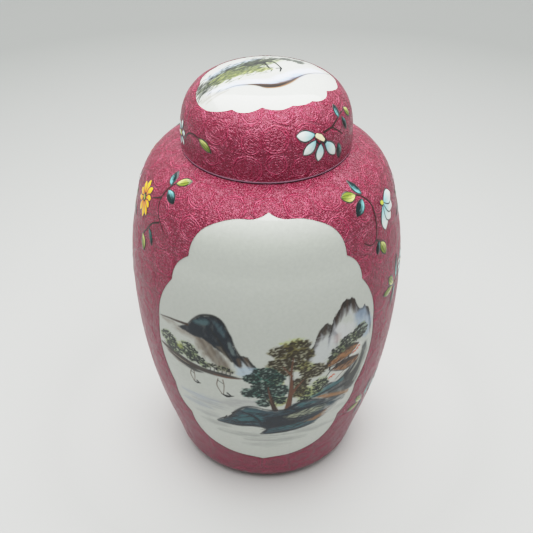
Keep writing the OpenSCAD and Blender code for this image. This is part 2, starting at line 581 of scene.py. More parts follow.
def ground(name, body, wall, v_low, v_high, step, pitch, holes, parts, seed):
    """The ruby enamel on one wall, less its white reserves, in equal parts round the axis."""
    columns = round(wall.round / step / parts) * parts
    u = np.arange(columns + 1) * wall.round / columns - wall.round / 2
    v = np.linspace(v_low, v_high, round((v_high - v_low) / step) + 1)
    uu, vv = np.meshgrid(u, v)
    local, kind = coils(wall, uu[:, :-1], vv[:, :-1], pitch, seed)
    local, kind = (np.concatenate([a, a[:, :1]], 1) for a in (local, kind))
    across = uu * wall.radius(vv) / wall.round_r
    grit = lattice(across[:, :-1] / GRIT_SIZE, vv[:, :-1] / GRIT_SIZE, seed)
    grit = np.concatenate([grit, grit[:, :1]], 1)
    points, _ = wall.place(uu, vv, GROUND_T + relief(local) + GRIT_H * grit)
    du = np.gradient(np.concatenate([points[:, -2:-1], points, points[:, 1:2]], 1), axis=1)[:, 1:-1]
    normals = np.cross(du, np.gradient(points, axis=0))
    normals /= np.linalg.norm(normals, axis=-1, keepdims=True)
    values = np.concatenate([points, normals, local, kind], -1)
    keep = np.min([h(uu, vv, points) for h in holes], axis=0)
    for part in range(parts):
        span = slice(part * columns // parts, (part + 1) * columns // parts + 1)
        some = values[:, span].reshape(-1, values.shape[-1])
        triangles = grid_triangles(len(v), columns // parts + 1)
        some, triangles = skirted(*clip(some, triangles, keep[:, span].ravel()))
        label = f"{name}_{part + 1}" if parts > 1 else name
        new_piece(label, body, some[:, :3], triangles, ruby, some[:, 3:6],
                  fields={"coil": some[:, 6:9], "coil_kind": some[:, 9], "coil_edge": some[:, 10]})


# ---------------------------------------------------------------- enamel painting
def smooth(points, steps=5):
    """A smooth line through some points."""
    p = np.array(points, float)
    fine = np.linspace(0, len(p) - 1, (len(p) - 1) * steps + 1)
    slope = np.gradient(p, axis=0)
    i = np.minimum(fine.astype(int), len(p) - 2)
    s = (fine - i)[:, None]
    rise = 3 * s * s - 2 * s ** 3
    return (1 - rise) * p[i] + rise * p[i + 1] + s * (1 - s) * ((1 - s) * slope[i] - s * slope[i + 1])


def lattice(x, y, seed):
    """Soft noise from 0 to 1, with one random value at each whole x and y. It repeats after 61."""
    period = 61
    table = np.random.default_rng(seed).random((period, period))
    i, j = np.floor(x).astype(int), np.floor(y).astype(int)
    s, t = x - i, y - j
    s, t = s * s * (3 - 2 * s), t * t * (3 - 2 * t)
    near, far = (table[(i + a) % period, j % period] * (1 - t)
                 + table[(i + a) % period, (j + 1) % period] * t for a in (0, 1))
    return near * (1 - s) + far * s


def cloud(x, y, seed):
    return sum(w * lattice(x * k, y * k, seed + k) for w, k in ((0.5, 1), (0.3, 2), (0.2, 4)))


class Painting:
    """Colours and enamel thickness on a grid of u and v, laid on stroke by stroke. flatten turns
    u and v into millimetres across and up, and place puts the grid on its wall."""

    def __init__(self, u, v, place, flatten=lambda u, v: (u, v), mirror=1, seed=0):
        self.u, self.v = np.meshgrid(u, v)
        self.x, self.y = flatten(self.u, self.v)
        self.place, self.flatten, self.mirror = place, flatten, mirror
        self.colour = np.tile(linear(PORCELAIN), self.u.shape + (1,))
        self.relief = np.zeros(self.u.shape)
        self.cover = np.full(self.u.shape, -1.0)
        self.random = np.random.default_rng(seed)

    def flat(self, u, v):
        return self.flatten(self.mirror * np.asarray(u, float), np.asarray(v, float))

    def line(self, points, steps=5):
        """A smooth line through (u, v) points, laid flat."""
        if len(points) > 2:
            points = smooth(points, steps)
        return np.column_stack(self.flat(*np.array(points, float).T))

    def near(self, line, margin):
        """The rows and columns of the grid round some flat points, and the grid's x and y there."""
        low, high = line.min(0) - margin, line.max(0) + margin
        rows = slice(*np.searchsorted(self.y[:, 0], (low[1], high[1])))
        hit = np.flatnonzero(((self.x[rows] > low[0]) & (self.x[rows] < high[0])).any(0))
        where = rows, slice(hit[0], hit[-1] + 1) if len(hit) else slice(0, 0)
        return where, self.x[where], self.y[where]

    def lay(self, where, inside, colour, opacity=1.0, soft=0.35, relief=0.03):
        """Blend a colour in; inside says how far in millimetres each point lies within the shape."""
        amount = opacity * np.clip(0.5 + inside / soft, 0, 1)
        colour = np.asarray(colour, float)
        shade = linear(colour) if colour.ndim == 1 else colour
        self.colour[where] += amount[..., None] * (shade - self.colour[where])
        self.relief[where] = np.maximum(self.relief[where], relief * amount)

    def stroke(self, points, widths, colour, opacity=1.0, soft=0.35, relief=0.03, halo=None):
        """A brush stroke whose width runs through the given widths."""
        line = self.line(points)
        half = np.interp(np.linspace(0, 1, len(line)), np.linspace(0, 1, len(widths)), widths) / 2
        where, x, y = self.near(line, max(widths) + 1)
        inside = np.full(x.shape, -9.0)
        for (ax, ay), (bx, by), a, b in zip(line, line[1:], half, half[1:]):
            dx, dy = bx - ax, by - ay
            t = np.clip(((x - ax) * dx + (y - ay) * dy) / (dx * dx + dy * dy + 1e-9), 0, 1)
            inside = np.maximum(inside, a + (b - a) * t - np.hypot(x - ax - t * dx, y - ay - t * dy))
        self.lay(where, inside, colour, opacity, soft, relief)
        if halo is not None:
            self.cover[where] = np.maximum(self.cover[where], inside + halo)

    def strokes(self, lines, widths, colour, **how):
        for points in lines:
            self.stroke(points, widths, colour, **how)

    def wash(self, points, colour, opacity=0.6, soft=2.0, grain=(5, 1.6), mottle=0.5, relief=0.02):
        """A patch with a soft, streaky edge."""
        line = self.line(points + points[:1])
        where, x, y = self.near(line, soft * 2)
        streaks = cloud(x / grain[0], y / grain[1], self.random.integers(99))
        inside = -signed_distance(x, y, line[:-1]) + (streaks - 0.5) * soft * 1.5
        self.lay(where, inside, colour, opacity * np.clip(1 - mottle + 2 * mottle * streaks, 0, 1), soft,
                 relief)

    def massif(self, ridge, depth, top, low, opacity, rough, lean):
        """A hill that is dark and crisp along its ridge and fades downwards in streaks."""
        line = self.line(ridge)
        below_it = line - (0, depth)
        where, x, y = self.near(np.vstack([line, below_it]), 1)
        seed = self.random.integers(99)
        height = np.interp(x, line[:, 0], line[:, 1]) + (lattice(x / 1.1, 0 * y, seed) - 0.5) * rough
        below = height - y
        streaks = cloud((x + lean * y) / 1.6, y / 7, seed)
        ends = np.minimum(x - line[0, 0], line[-1, 0] - x)
        strength = np.clip((1 - below / (depth * (0.35 + 1.1 * streaks))) * 1.6, 0, 1)
        t = np.clip(1.5 * below / depth - 0.35 + (streaks - 0.5) * 1.4, 0, 1)[..., None]
        shade = linear(top) * (1 - t) + linear(low) * t
        self.lay(where, np.minimum(below, ends), shade, opacity * strength, 0.5, 0.03)

    def foliage(self, u, v, wide, high, tint, ink, number, length=1.5, opacity=0.8):
        """A clump of leaves: a tinted cloud under many short tapered ink marks."""
        cx, cy = self.flat(u, v)
        a = np.linspace(0, 2 * math.pi, 12, endpoint=False)
        rim = np.column_stack([cx + wide * np.cos(a), cy + high * np.sin(a)])
        where, x, y = self.near(rim, 2)
        mottle = cloud(x / 2.2, y / 1.6, self.random.integers(99))
        reach = np.hypot((x - cx) / wide, (y - cy) / high)
        self.lay(where, (1.02 - reach) * high + (mottle - 0.5) * 3, tint, opacity * (0.5 + mottle * 0.6),
                 1.2)
        for _ in range(number):
            turn, out = self.random.random() * 2 * math.pi, math.sqrt(self.random.random())
            mx, my = cx + wide * out * math.cos(turn), cy + high * out * math.sin(turn)
            tilt = self.random.normal(0, 0.3) - 0.35 * (mx - cx) / wide
            self.mark(mx, my, length * self.random.uniform(0.6, 1.1), 0.45, tilt, ink)

    def mark(self, cx, cy, length, thick, tilt, colour, opacity=0.92):
        """One short touch of the brush, its tilt in radians from level."""
        where, x, y = self.near(np.array([[cx, cy]]), length)
        across = (x - cx) * math.cos(tilt) + (y - cy) * math.sin(tilt)
        up = (y - cy) * math.cos(tilt) - (x - cx) * math.sin(tilt)
        inside = (1 - np.hypot(across / (length / 2), up / thick)) * thick
        self.lay(where, inside, colour, opacity, 0.3, 0.04)

    def scatter(self, points, number, length, thick, colour, tilt=0.0, opacity=0.8):
        """Short marks at random inside an outline."""
        line = self.line(points + points[:1], 3)[:-1]
        spots = self.random.uniform(line.min(0), line.max(0), (number * 3, 2))
        spots = spots[signed_distance(spots[:, 0], spots[:, 1], line) < 0][:number]
        for x, y in spots:
            lean = tilt + self.random.normal(0, 0.25)
            self.mark(x, y, length * self.random.uniform(0.5, 1.2), thick, lean, colour, opacity)

    def leaf(self, base, tip, width, colours, veins=2, blunt=1.0, petal=False):
        """A raised leaf or petal outlined in ink. A leaf is pale along one side, with darker mottling
        away from its base and a dark tip; a petal is deep at its base."""
        base, tip = (np.array(self.flat(*end)) for end in (base, tip))
        length = np.hypot(*(tip - base))
        along = (tip - base) / length
        where, x, y = self.near(np.array([base, tip]), width)
        s = ((x - base[0]) * along[0] + (y - base[1]) * along[1]) / length
        t = (y - base[1]) * along[0] - (x - base[0]) * along[1]
        t = t + 0.12 * length * (np.clip(s, 0, 1) - 0.5) ** 2
        half = width / 2 * np.sin(math.pi * np.clip(s, 0, 1) ** blunt) ** 0.7
        over = np.clip(np.abs(s - 0.5) - 0.5, 0, None) * length
        inside = np.where(over > 0, -np.hypot(over, t), (half - np.abs(t)) * 0.85)
        side = np.clip(0.5 + t / (0.4 * width), 0, 1)
        mix = 0.15 + 1.2 * s if petal else 1.15 * side * np.clip(1.35 - 1.5 * s, 0, 1) + 0.08
        if not petal:
            mix = mix - 0.5 * cloud(x * 1.6, y * 1.6, LEAF_SEED) * (s > 0.3)
        mix = np.clip(mix, 0, 1)[..., None]
        pale, deep = (linear(c) for c in colours)
        self.lay(where, inside + 0.15, (186, 172, 174), 0.8, 0.3, 0)
        self.lay(where, inside, deep * (1 - mix) + pale * mix, 1.0, 0.2, 0)
        for k in range(veins):
            vein = 0.17 - np.abs(t - (k - (veins - 1) / 2) * 0.6 * half) - 0.1 * (1 - s)
            self.lay(where, np.minimum(vein, inside), INK, 0.9, 0.2, 0)
        self.lay(where, 0.27 - np.abs(inside - 0.14), INK, 1.0, 0.2, 0)
        swell = 0.32 * np.sqrt(np.clip(inside / (width / 2), 0, 1))
        self.relief[where] = np.maximum(self.relief[where], swell)
        self.cover[where] = np.maximum(self.cover[where], inside + 0.25)


def painted_sheet(name, body, art, keep, lift=PAINT_T):
    """The piece that carries a painting, cut where keep is positive."""
    points = art.place(art.u, art.v, lift + art.relief)[0]
    normals = np.cross(np.gradient(points, axis=1), np.gradient(points, axis=0))
    normals /= np.linalg.norm(normals, axis=-1, keepdims=True)
    values = np.concatenate([points, normals, art.colour], -1)
    triangles = grid_triangles(*art.u.shape)
    values, triangles = skirted(*clip(values.reshape(-1, 9), triangles, keep.ravel()))
    return new_piece(name, body, values[:, :3], triangles, painted, values[:, 3:6], values[:, 6:9])


# ---------------------------------------------------------------- the landscapes
INK = (14, 17, 19)
BLUE_BLACK = (12, 24, 34)
UMBER = (52, 36, 26)
SEPIA = (92, 74, 58)
TEAL = (52, 102, 108)
LIME = (166, 178, 92)
OLIVE = (110, 104, 58)
OCHRE = (146, 102, 56)
RUST = (190, 84, 48)
MIST = (166, 170, 180)
RUSSET = (98, 62, 44)
GLAZE = (196, 198, 192)
BROWN_INK = (42, 34, 16)
TEAL_INK = (12, 32, 30)


def paint_boat(art, u, v, scale, sail):
    """A small boat under sail, drawn in a few ink lines."""
    art.stroke([(u - 2.6 * scale, v + 0.7 * scale), (u, v - 0.3 * scale),
                (u + 3.2 * scale, v + 0.6 * scale)],
               (0.4, 1.6 * scale, 0.4), INK)
    art.stroke([(u + 0.2 * scale, v + 1.9 * scale), (u + 1.6 * scale, v + 0.6 * scale)], (0.9, 0.9), INK)
    mast = [(u - 1.4 * scale, v + sail), (u - 1.0 * scale, v + 0.6 * sail), (u - 1.6 * scale, v + 1)]
    art.stroke(mast, (0.5, 0.45, 0.35), SEPIA)
    edge = [(u - 3.6 * scale, v + sail), (u - 4.4 * scale, v + 0.55 * sail), (u - 2.4 * scale, v + 0.8)]
    art.stroke(edge, (0.5, 0.5, 0.5), SEPIA)
    art.stroke([(u - 3.8 * scale, v + 0.9 * sail), (u - 1.4 * scale, v + 0.75 * sail)], (0.4, 0.4), INK)


def paint_bushes(art, spots, tint, ink, length):
    """Clumps of leaves given as (u, v, half width, half height, marks)."""
    for u, v, wide, high, number in spots:
        art.foliage(u, v, wide, high, tint, ink, number, length)


def paint_tree(art, trunk, width, clumps, tint, ink):
    """Clumps of leaves, and over them a trunk with bark lines."""
    paint_bushes(art, clumps, tint, ink, 2.0)
    art.stroke(trunk, (width * 1.6, width, width * 0.6, width * 0.25), RUSSET, soft=0.5, relief=0.05)
    for side in (-0.45, 0.1, 0.5):
        line = [(u + side * width, v) for u, v in trunk]
        art.stroke(line, (0.6, 0.45, 0.3, 0.1), INK, opacity=0.85)


def paint_water(art, bands, opacity, soft):
    """Level bands of still water given as (u, v, half width, colour)."""
    for u, v, wide, tone in bands:
        art.wash([(u - wide, v), (u, v + 1.8), (u + wide, v + 0.4), (u, v - 1.6)], tone, opacity, soft,
                 (9, 1.0))


def paint_house(art):
    """Two tiled roofs over white walls on the slope at the right."""
    art.wash([(30, 91), (34, 99), (44, 104), (46, 109), (52, 109), (51.5, 99), (42, 93), (38, 89)], GLAZE,
             0.9, 0.6)
    upper = [(30, 101.6), (32, 105.2), (36.5, 108.6), (44, 110.6), (49.5, 109.2), (46, 105.4), (41, 103.4),
             (35, 102)]
    lower = [(33.6, 98.8), (38, 100.6), (44, 101.2), (50.5, 100.6), (50, 98), (46, 96), (42, 95.4),
             (38, 96.8)]
    for roof, ridge in ((upper, upper[:5]), (lower, lower[:4])):
        art.wash(roof, (142, 92, 42), 0.95, 0.4, grain=(2, 0.7), mottle=0.3)
        art.stroke(ridge, (0.8, 2.6, 3.2, 1.2), UMBER, soft=0.6)
        art.scatter(roof, 70, 2.2, 0.25, UMBER, tilt=0.45)
    art.stroke([(29.6, 101), (36, 101.4), (41, 102.8), (46.5, 105)], (0.6, 0.7, 0.6), INK)
    art.stroke([(33, 98.4), (38, 96.4), (42, 95), (46, 95.6), (50.5, 97.8)], (0.5, 0.7, 0.5), UMBER)
    for u, v in ((32.5, 100.4), (36.5, 100.8), (40, 101.6), (43.5, 102.8)):
        art.stroke([(u, v - 1.2), (u + 0.2, v + 1)], (0.9, 0.9), INK)
    art.stroke([(28.6, 91), (31, 95), (33.6, 99)], (0.5, 0.5, 0.6), INK)
    art.stroke([(37, 90.5), (39.5, 93), (42.5, 95.2)], (0.4, 0.4, 0.5), SEPIA)
    for u, v in ((33.6, 93.4), (35.2, 94.4), (47.4, 104.4), (49, 105.4), (50.2, 106.8)):
        art.stroke([(u - 1, v - 0.5), (u, v + 0.6), (u + 0.9, v - 0.1)], (0.6, 0.9, 0.4), RUST)


def paint_front(art):
    """A river between dark hills: a wooded bank, two boats, an island with trees, and a house."""
    # far peaks at the right
    art.massif([(19, 110), (21, 114.5), (23, 119.5), (25, 125.5), (27.5, 129), (30, 130), (32.5, 128.6),
                (36, 122)], 13, (34, 26, 20), (184, 188, 192), 0.95, 1.8, 0.3)
    art.massif([(30.5, 122), (32, 128), (33, 132), (36, 136.5), (38.5, 140), (42, 141), (45, 139.6),
                (46.5, 135), (49, 131.5), (52, 132), (55, 128), (58, 117)], 13, (28, 22, 18),
               (188, 191, 196), 1.0, 2.2, 0.25)
    art.strokes([[(34.5, 134), (35, 130), (34.4, 126)], [(37.5, 138), (37.6, 133), (36.8, 129)],
                 [(40.5, 140), (40.6, 134.5), (40, 131)], [(44, 139), (44.6, 134.5), (45, 131)],
                 [(26, 127), (25.4, 122), (24, 117)], [(29, 129), (28.6, 125), (27.4, 121)]],
                (1.2, 2.2, 0.3), UMBER, opacity=0.75, soft=1.3)
    art.wash([(24, 120), (31, 123), (35, 112), (30, 104), (23, 106)], (188, 192, 196), 0.5, 3)
    art.wash([(46, 129), (52, 131), (57, 122), (56, 112), (48, 116)], (138, 158, 178), 0.7, 2.5, (3, 5))
    art.wash([(33, 126), (38, 128), (45, 124), (42, 117), (34, 117)], (198, 199, 202), 0.6, 3, (3, 6))
    art.wash([(34, 121), (36, 122), (38, 119), (35, 117)], (178, 160, 156), 0.5, 2.5)
    # hills at the left
    art.wash([(-36, 121), (-28, 120), (-22, 114), (-17, 106), (-18, 101.5), (-25, 104), (-33, 111)],
             (112, 98, 80), 0.8, 4, (2.5, 6))
    art.wash([(-57, 121.5), (-46, 124), (-38, 122), (-38, 117), (-46, 119)], (120, 106, 92), 0.6, 2.6,
             (5, 1.5))
    art.strokes([[(-33, 120), (-29, 112), (-25, 106)], [(-28, 119), (-25, 112), (-22, 105)],
                 [(-24, 115), (-21, 108.5), (-19, 103)]], (2.6, 1.8, 0.4), UMBER, opacity=0.5, soft=2.0)
    art.massif([(-16, 112), (-13, 115), (-9.5, 114.6), (-7.4, 111), (-5, 107.6), (-2.5, 103.5)], 9,
               (50, 50, 50), (170, 184, 196), 0.9, 1.2, 0.6)
    hill = [(-46, 122), (-42.5, 124.6), (-39.5, 126.6), (-37, 130), (-33, 133.6), (-29, 135.4), (-24, 135.8),
            (-21, 133.6), (-19, 129.6), (-16.6, 126), (-15.6, 120), (-13.4, 115), (-11.6, 110), (-13, 106.6),
            (-15.4, 108.6), (-19, 112.4), (-24, 116), (-30, 120), (-37, 120.6)]
    art.wash(hill, BLUE_BLACK, 1.0, 0.9, (2, 3), 0.1, 0.05)
    # painted highlights: two pale grey-teal glints on the dark hill's top
    art.wash([(-36, 129.6), (-32.5, 132), (-28.6, 132.4), (-29, 130), (-33, 128.6)], (90, 122, 126), 0.45,
             1.8, (3, 1.5))
    art.wash([(-25.5, 133), (-22.5, 131.8), (-19.8, 126.6), (-20.4, 124.6), (-23.6, 129)], (86, 114, 122),
             0.36, 1.6, (1.5, 3))
    art.wash([(-18.6, 123), (-16.8, 121), (-15, 115.4), (-16.4, 115), (-18, 118)], (98, 112, 112), 0.7, 1.0,
             (1.5, 3))
    art.wash([(-24, 118), (-21, 117.6), (-16.4, 109.6), (-19, 111.4)], (92, 84, 70), 0.7, 1.2, (1.5, 3))
    art.strokes([[(-40, 126), (-36.6, 130.6), (-32, 134.6), (-26, 136), (-21.4, 134), (-18.6, 129),
                  (-15.6, 121)], [(-15.8, 121), (-13.4, 115.4), (-10, 110), (-8, 106)],
                 [(-11, 114.4), (-8.6, 111.6), (-5.4, 107.4)],
                 [(-27, 128), (-23, 122), (-20, 116), (-17, 110)]], (0.6, 1.5, 0.7), INK, opacity=0.95,
                soft=0.7)
    art.strokes([[(-58.5, 122.4), (-52, 124.2), (-46, 125.2), (-40, 126)]], (0.5, 1.1, 1.6), UMBER, soft=0.7)
    art.strokes([[(-10, 113), (-8.6, 109), (-7, 106)], [(-13.6, 112), (-12.6, 107), (-11, 103)]],
                (1.6, 1.2, 0.3), SEPIA, opacity=0.7, soft=1.6)
    art.wash([(-15, 106), (-9, 108), (-4, 104.5), (-8, 101), (-14, 101)], (164, 184, 202), 0.7, 2)
    # the wooded bank
    art.wash([(-60, 103.5), (-52, 104.5), (-42, 101), (-36, 99.6), (-40, 97), (-50, 98)], SEPIA, 0.8, 1.8,
             (6, 1.2))
    art.stroke([(-60, 104), (-52, 102.6), (-43, 100.4), (-36, 99.6), (-28, 99.4), (-20, 99.2),
                (-11.5, 99.2)], (0.8, 2.6, 4.0, 3.4, 3.2, 2.6, 0.3), (44, 34, 28), opacity=0.95, soft=0.9)
    art.stroke([(-55, 101.4), (-46, 98.8), (-38, 97), (-33, 97.2)], (0.6, 2.2, 2.4, 0.4), INK, opacity=0.85,
               soft=0.8)
    art.stroke([(-58, 105.6), (-50, 103.8), (-42, 101.8)], (0.4, 0.9, 0.4), INK, opacity=0.8)
    art.stroke([(-52, 101.4), (-46, 100.2), (-41, 99.4)], (0.4, 0.8, 0.3), (150, 140, 124), opacity=0.7)
    art.stroke([(-27, 98.6), (-20, 98.4), (-12.5, 98.7)], (0.4, 1.0, 0.3), RUSSET, opacity=0.9)
    art.stroke([(-30, 100.4), (-22, 100.4), (-15, 99.8)], (0.3, 0.8, 0.3), INK, opacity=0.9)
    paint_bushes(art, ((-53.5, 110.5, 5.4, 4.4, 120), (-49, 106.8, 6.4, 3.4, 120),
                       (-40.5, 109.6, 5.6, 4.6, 130),
                       (-37, 105.6, 6, 3, 100), (-31.4, 103, 2.8, 1.6, 24)), (132, 148, 106), (18, 28, 28),
                       1.35)
    art.wash([(-46, 112), (-43.6, 110.4), (-46, 107.6), (-48, 110)], LIME, 0.6, 1.6)
    for k in range(6):
        u = -28.6 + 2.1 * k
        art.stroke([(u, 100.4), (u + 0.2, 103)], (0.5, 0.4), INK)
        art.foliage(u, 104 + 0.7 * math.sin(2.2 * k), 1.7, 1.3, (120, 124, 96), INK, 10, 1.2)
    # boats and water
    paint_water(art, ((-37, 77, 12, (148, 158, 178)), (-40, 70, 9, (150, 158, 172)),
                      (-18, 79, 15, (158, 158, 160)),
                      (-28, 74, 14, (150, 152, 158)), (-9, 82, 10, (158, 158, 160)),
                      (-34, 64, 8, (158, 160, 160)),
                      (-8, 52.5, 20, (142, 144, 142)), (6, 48, 19, (148, 150, 148)),
                      (-30, 58, 9, (150, 152, 150)),
                      (26, 54, 16, (146, 149, 147)), (0, 43, 14, (158, 160, 158)),
                      (40, 66, 8, (150, 154, 150))),
                0.6, 3.0)
    paint_boat(art, -37.6, 88, 0.75, 8)
    paint_boat(art, -20.6, 84.6, 1.15, 11.5)
    # slope under the house
    art.wash([(22, 83), (32, 88), (40, 90), (46, 94), (50, 100), (55, 108), (57, 104), (55, 90), (51, 79),
              (44, 77), (32, 80)], (52, 58, 60), 0.92, 2.2, (3, 5))
    art.wash([(42, 90), (47, 95), (52, 103), (55, 98), (52, 84), (47, 79), (42, 83)], (26, 28, 28), 0.85, 3,
             (2.5, 5))
    art.wash([(44, 90), (49, 96), (53, 104), (53, 96), (48, 88)], (60, 58, 52), 0.7, 2, (1.2, 6))
    art.strokes([[(50, 82), (54, 90), (56.6, 102)], [(47, 90), (50.6, 95), (53, 103)]], (0.5, 1.6, 0.5),
                (168, 172, 160), opacity=0.7, soft=1.2)
    art.wash([(19, 83), (28, 87), (37, 89.6), (42, 88), (34, 84), (24, 81.5)], TEAL, 0.8, 1.6, (4, 1.5), 0.4)
    art.strokes([[(19, 83), (27, 86.4), (35, 89.4), (40, 92), (45, 97)], [(23, 81.4), (32, 84), (41, 86.4)],
                 [(34, 82), (42, 83), (50, 84.4)], [(43, 88), (48, 94), (52, 101)],
                 [(38, 88), (44, 92), (48, 99)]],
                (0.6, 1.5, 0.4), BLUE_BLACK, opacity=0.9, soft=0.7)
    art.wash([(26, 81.6), (32, 81.6), (40, 78.6), (48, 76.8), (47, 74.4), (39, 75.8), (31, 78.6)], OCHRE,
             0.9, 1.2, (4, 1))
    art.stroke([(28, 80), (36, 77.4), (46, 75)], (0.3, 0.7, 0.3), UMBER, opacity=0.7)
    paint_house(art)
    paint_bushes(art, ((37, 111.4, 4.6, 2.4, 60), (43.5, 114.6, 6, 4.2, 126), (50, 117, 5, 4.6, 120),
                       (33.4, 107.6, 2.6, 1.6, 21)), (122, 134, 98), (18, 24, 22), 1.5)
    # trees on the island
    for u, v, wide, high in ((19.5, 106, 4.4, 3), (20, 88, 5.4, 4), (4, 98, 4.4, 3), (13, 122.6, 6, 3),
                             (6, 83, 5, 4)):
        art.foliage(u, v, wide, high, LIME, OLIVE, 14, opacity=0.7)
    paint_tree(art, [(11.2, 76), (12, 84), (12.6, 94), (12.2, 103), (13, 113)], 2.2,
               ((15, 120.6, 6, 3.6, 93), (8, 117.6, 6.6, 4, 114), (16.6, 114.6, 7, 3.6, 105),
                (6.4, 109.4, 6.6, 4, 114),
                (16, 107.6, 5, 3, 60), (23.6, 102, 7, 4.6, 135), (17.4, 95.4, 5, 3.4, 75),
                (17, 88.6, 4.4, 4, 75),
                (8.4, 103.6, 4, 2.4, 36)), OLIVE, BROWN_INK)
    art.stroke([(12.4, 87), (15, 92), (18.6, 97)], (2.0, 1.3, 0.5), RUSSET, soft=0.5)
    art.stroke([(12.6, 101), (10, 105), (8, 108)], (1.1, 0.8, 0.4), RUSSET, soft=0.5)
    paint_tree(art, [(4.8, 76), (3.2, 81), (1.8, 87), (0.8, 94)], 1.7,
               ((-1, 103.4, 6.6, 4.2, 126), (-7, 99.6, 4.4, 3.4, 66), (4.4, 99.4, 4.6, 4, 84),
                (-1.6, 95, 6, 3.6, 99),
                (-7.6, 89.4, 5, 3.4, 81), (-1, 88.4, 5, 3.6, 75), (6.4, 91.6, 4.6, 4, 75),
                (6.6, 84.6, 3.8, 3.4, 54),
                (-1.4, 82, 3.6, 2.8, 42)), (66, 112, 100), TEAL_INK)
    art.strokes([[(12, 77), (12.8, 87), (13, 98)], [(10.6, 76.6), (11.6, 86), (12, 95)]],
                (1.2, 0.9, 0.5), RUSSET, opacity=0.95)
    art.strokes([[(5, 76), (3.6, 82), (2.4, 88)], [(3.6, 76.4), (2.4, 81), (0, 86)]], (1.4, 1.0, 0.4), UMBER)
    paint_bushes(art, ((28.4, 91.6, 4.4, 3.6, 84), (24.6, 87, 4.4, 3, 66), (19.6, 82.4, 3.6, 2, 36)),
                 (146, 160, 104), (20, 30, 26), 1.4)
    # the island's rocks
    art.wash([(12, 78), (17, 81), (24, 81), (31, 78.6), (40, 76), (46, 73.6), (44, 70), (32, 71), (22, 73),
              (13, 73)], (30, 46, 56), 0.95, 1.2, (4, 1.4), 0.3)
    art.wash([(-28, 61), (-24.6, 64.4), (-19, 67.6), (-16.4, 72), (-12, 76.6), (-7, 77.8), (-2, 76.4),
              (4, 75.6), (12, 76), (24, 76), (34, 73.6), (42, 72), (38, 66), (30, 61), (22, 57.6), (10, 56),
              (-2, 54.6), (0, 59), (-2, 61), (-8, 61.6), (-17, 60.8)], (34, 60, 72), 0.97, 1.1, (5, 1.8),
             0.15)
    art.wash([(-4, 62), (-1, 68), (4, 72), (12, 71), (20, 66), (18, 62), (8, 59.6)], (14, 20, 32), 0.95, 3,
             (4, 3))
    for points in ([(-21, 65), (-17, 69), (-11, 71.6), (-8.4, 67), (-13, 63.4)],
                   [(-9, 71), (-3, 72), (-2, 67), (-7, 64.4)],
                   [(14, 79), (20, 79.4), (27, 77.6), (20, 76.4)],
                   [(2, 58), (12, 61.6), (26, 62.6), (16, 59)], [(-12, 75), (-6, 76), (-4, 74), (-10, 73)]):
        art.wash(points, TEAL, 0.75, 1.8, (3, 1.5))
    art.wash([(9, 69.4), (18, 73.4), (28, 73.4), (34, 71.6), (24, 68.6), (14, 67)], (164, 170, 144), 0.9,
             1.8, (6, 1.2))
    art.wash([(22, 62.6), (28, 65.4), (36, 69.4), (35, 65.6), (28, 61.6)], OCHRE, 0.75, 1.6, (5, 1.2))
    art.wash([(34, 70), (44, 73), (48, 70), (40, 64), (33, 62)], GLAZE, 0.75, 4)
    art.strokes([[(-28.4, 61.4), (-24.6, 64.8), (-19.4, 68), (-16.4, 73), (-12, 77.4), (-7, 78.6),
                  (-2, 77.2)], [(-28, 60.6), (-18, 61), (-8, 62), (0, 60.4)],
                 [(-3, 54.4), (6, 55.6), (16, 57), (28, 59)],
                 [(-2, 77), (5, 75.6), (12, 76.4), (18, 80.4), (25, 80.4), (32, 77.4)],
                 [(1, 60), (-1, 57), (-3.6, 54.6)], [(-14, 74), (-8.6, 71.6), (-4.4, 67.6), (-3, 63)],
                 [(6, 70), (14, 72), (24, 75), (34, 74)], [(0, 70), (10, 68), (20, 66.6), (30, 68.6)],
                 [(8, 63.6), (18, 64), (28, 66), (36, 69)], [(-20, 62.6), (-12, 64.6), (-4, 65.6)],
                 [(12, 77), (16, 74.6), (24, 74)]], (0.7, 1.9, 0.5), BLUE_BLACK, opacity=0.92, soft=0.8)
    art.strokes([[(-23.6, 65), (-22, 68)], [(-20.4, 67.6), (-18.4, 70.4)], [(-18.6, 71), (-16.6, 73.4)]],
                (1.2, 0.4), INK)
    art.scatter([(-24, 62), (-14, 73), (4, 74), (24, 78), (34, 73), (22, 61), (4, 58), (-10, 62)],
                260, 3.8, 0.3, BLUE_BLACK, tilt=0.15, opacity=0.7)


def grass(art, line, number, reach, colours):
    """Short leaning marks along both sides of a line, from dark to light."""
    line = smooth(line, 8)
    for _ in range(number):
        x, y = line[art.random.integers(len(line))] + art.random.normal(0, reach, 2)
        colour = colours[art.random.integers(len(colours))]
        art.mark(x, y, art.random.uniform(1.6, 4), 0.26, art.random.normal(0.75, 0.25), colour, 0.75)


